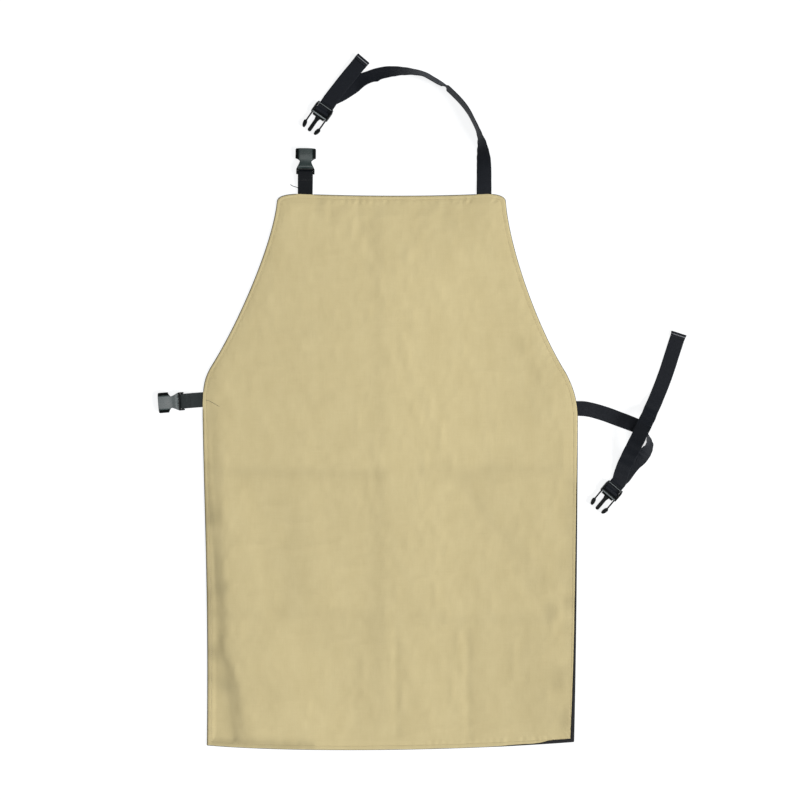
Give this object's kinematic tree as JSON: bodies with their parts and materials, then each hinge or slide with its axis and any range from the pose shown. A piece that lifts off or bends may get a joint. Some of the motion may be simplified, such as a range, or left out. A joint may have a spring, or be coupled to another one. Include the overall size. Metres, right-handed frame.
{
  "type": "lead apron",
  "caption": "Flat dental X-ray apron: lead-vinyl sheets sewn in a cloth cover, with a neck strap and a waist strap that close with side-release buckles.",
  "frame": {"origin": "middle of the panel, on the underside of the back cover, in the plane that the apron rests on", "axes": "+X to the side of the waist strap, +Y from the hem towards the neck edge, +Z out of the front cover"},
  "size_m": [0.8539, 1.1251, 0.0293],
  "materials": {
    "cover_cloth": "tightly woven khaki cotton twill, matt with a slight sheen",
    "backing_cloth": "black woven nylon, matt",
    "lead_vinyl": "grey lead-loaded vinyl, smooth and dull",
    "thread": "khaki polyester sewing thread",
    "webbing": "blue-black woven webbing with a faint sheen",
    "webbing_thread": "black sewing thread",
    "plug_plastic": "black moulded acetal, satin",
    "socket_plastic": "grey-black moulded acetal, semi-gloss"
  },
  "bodies": {
    "apron": {"front_cover": "cover_cloth", "back_cover": "backing_cloth", "lead_sheet_front": "lead_vinyl", "lead_sheet_back": "lead_vinyl", "edge_stitching": "thread", "anchor_tacks": "thread", "neck_tab": "webbing", "waist_tab": "webbing", "neck_strap": "webbing", "waist_strap": "webbing"},
    "neck_socket": {"neck_socket": "socket_plastic"},
    "waist_socket": {"waist_socket": "socket_plastic"},
    "neck_plug": {"neck_buckle_frame": "plug_plastic", "neck_strap_bight": "webbing"},
    "neck_latch_left": {"neck_latch_left": "plug_plastic"},
    "neck_latch_right": {"neck_latch_right": "plug_plastic"},
    "neck_tail": {"neck_strap_tail": "webbing", "neck_tail_stitch": "webbing_thread"},
    "waist_plug": {"waist_buckle_frame": "plug_plastic", "waist_strap_bight": "webbing"},
    "waist_latch_left": {"waist_latch_left": "plug_plastic"},
    "waist_latch_right": {"waist_latch_right": "plug_plastic"},
    "waist_tail": {"waist_strap_tail": "webbing", "waist_tail_stitch": "webbing_thread"}
  },
  "joints": [
    {"name": "neck_socket_pivot", "type": "hinge", "parent": "apron", "child": "neck_socket", "pos_m": [-0.1382, 0.48409, 0.0048], "axis": [0.9998, -0.0175, 0], "range_deg": [0, 100]},
    {"name": "waist_socket_pivot", "type": "hinge", "parent": "apron", "child": "waist_socket", "pos_m": [-0.33699, 0.11459, 0.0048], "axis": [-0.0802, 0.9968, 0], "range_deg": [0, 100]},
    {"name": "neck_adjust", "type": "slide", "parent": "apron", "child": "neck_plug", "axis": [-0.5736, -0.8192, 0], "range_m": [-0.04, 0.015], "deforming": ["neck_strap", "neck_strap_tail"]},
    {"name": "neck_tail_feed", "type": "slide", "parent": "neck_plug", "child": "neck_tail", "axis": [-0.5736, -0.8192, 0], "range_m": [-0.04, 0.015], "deforming": ["neck_strap_tail", "neck_tail_stitch"]},
    {"name": "neck_latch_left_squeeze", "type": "hinge", "parent": "neck_plug", "child": "neck_latch_left", "pos_m": [-0.10529, 0.56893, 0.0035], "axis": [0, 0, -1], "range_deg": [0, 8.5], "stiffness_Nm_per_rad": 1},
    {"name": "neck_latch_right_squeeze", "type": "hinge", "parent": "neck_plug", "child": "neck_latch_right", "pos_m": [-0.12659, 0.58385, 0.0035], "axis": [0, 0, 1], "range_deg": [0, 8.5], "stiffness_Nm_per_rad": 1},
    {"name": "waist_adjust", "type": "slide", "parent": "apron", "child": "waist_plug", "axis": [-0.6428, -0.766, 0], "range_m": [-0.04, 0.015], "deforming": ["waist_strap", "waist_strap_tail"]},
    {"name": "waist_tail_feed", "type": "slide", "parent": "waist_plug", "child": "waist_tail", "axis": [-0.6428, -0.766, 0], "range_m": [-0.04, 0.015], "deforming": ["waist_strap_tail", "waist_tail_stitch"]},
    {"name": "waist_latch_left_squeeze", "type": "hinge", "parent": "waist_plug", "child": "waist_latch_left", "pos_m": [0.36126, -0.0452, 0.0035], "axis": [0, 0, -1], "range_deg": [0, 8.5], "stiffness_Nm_per_rad": 1},
    {"name": "waist_latch_right_squeeze", "type": "hinge", "parent": "waist_plug", "child": "waist_latch_right", "pos_m": [0.34134, -0.02849, 0.0035], "axis": [0, 0, 1], "range_deg": [0, 8.5], "stiffness_Nm_per_rad": 1}
  ],
  "couplings": [
    {"joint": "neck_tail_feed", "follows": "neck_adjust", "ratio": 1},
    {"joint": "waist_tail_feed", "follows": "waist_adjust", "ratio": 1}
  ]
}
